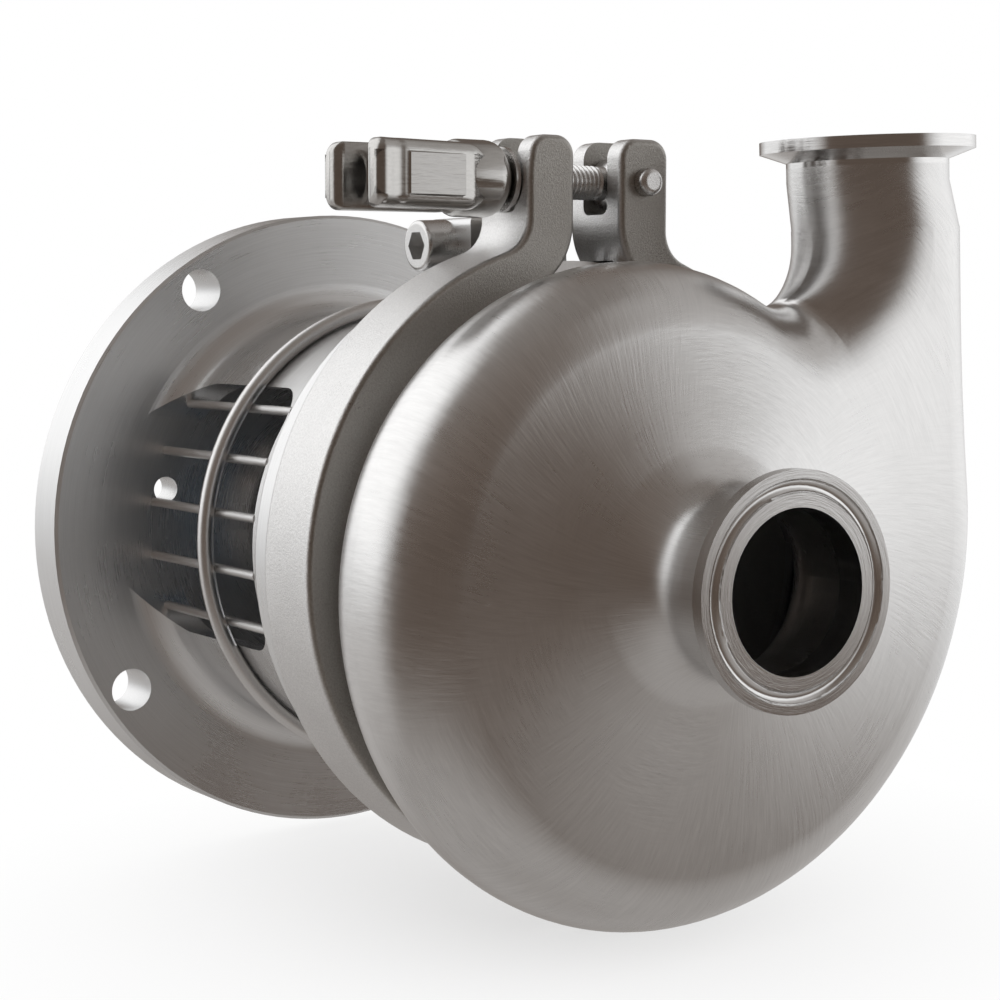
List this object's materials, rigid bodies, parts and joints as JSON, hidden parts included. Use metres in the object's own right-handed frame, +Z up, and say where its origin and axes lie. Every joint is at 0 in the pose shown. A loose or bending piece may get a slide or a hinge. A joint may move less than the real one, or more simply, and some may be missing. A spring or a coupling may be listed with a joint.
{
  "type": "sanitary centrifugal pump head",
  "caption": "Close-coupled sanitary centrifugal pump head: volute with clamp ferrules, hinged band clamp with wing nut, back plate, shaft seal and windowed motor adapter.",
  "frame": {"origin": "centre of the adapter flange's motor side, on the shaft axis", "axes": "+Y along the shaft to the motor, +Z up along the outlet, +X to the right as seen from the inlet"},
  "size_m": [0.1782, 0.2035, 0.1831],
  "materials": {
    "casing_steel": "satin, brushed in fine arcs",
    "turned_steel": "turned satin",
    "clamp_steel": "bead-blasted cast steel",
    "bright_steel": "polished steel",
    "fastener_steel": "satin",
    "wire_steel": "satin drawn wire",
    "seal_rubber": "matt",
    "blue_rubber": "matt",
    "carbon": "lapped"
  },
  "bodies": {
    "pump": {"casing": "casing_steel", "casing_gasket": "seal_rubber", "backplate": "turned_steel", "adapter": "turned_steel", "adapter_pinch_screw": "fastener_steel", "guard_hoop": "wire_steel", "guard_bars": "wire_steel", "clamp_half_right": "clamp_steel", "clamp_hinge_pin": "fastener_steel", "swing_bolt_pin": "fastener_steel"},
    "left_clamp": {"clamp_half_left": "clamp_steel"},
    "bolt": {"swing_bolt": "fastener_steel"},
    "washer": {"nut_washer": "fastener_steel"},
    "nut": {"wing_nut": "bright_steel"},
    "rotor": {"impeller": "casing_steel", "impeller_key": "fastener_steel", "impeller_nut": "bright_steel", "impeller_nut_ring": "seal_rubber", "stub_shaft": "turned_steel", "shaft_collar_upper": "turned_steel", "shaft_collar_lower": "turned_steel", "collar_screws": "fastener_steel", "deflector": "blue_rubber", "carbon_seal": "carbon", "seal_o_ring": "seal_rubber", "seal_cup": "turned_steel", "seal_spring": "wire_steel"}
  },
  "joints": [
    {"name": "impeller_spin", "type": "hinge", "parent": "pump", "child": "rotor", "pos_m": [0, -0.1, 0], "axis": [0, 1, 0], "continuous": true},
    {"name": "clamp_open", "type": "hinge", "parent": "pump", "child": "left_clamp", "pos_m": [-0.00322, -0.12025, -0.08024], "axis": [0, -1, 0], "range_deg": [0, 1.7]},
    {"name": "swing_bolt_pivot", "type": "hinge", "parent": "pump", "child": "bolt", "pos_m": [0.01916, -0.12025, 0.0859], "axis": [0, 1, 0], "range_deg": [0, 120]},
    {"name": "nut_travel", "type": "slide", "parent": "bolt", "child": "washer", "axis": [-0.9992, 0, 0.0401], "range_m": [0, 0.005]},
    {"name": "wing_nut_turn", "type": "hinge", "parent": "washer", "child": "nut", "pos_m": [-0.0265, -0.12025, 0.08773], "axis": [-0.9992, 0, 0.0401], "range_deg": [0, 1440]}
  ],
  "couplings": [
    {"joint": "wing_nut_turn", "follows": "nut_travel", "rad_per_m": 5026.5},
    {"joint": "clamp_open", "follows": "nut_travel", "rad_per_m": 5.868}
  ]
}
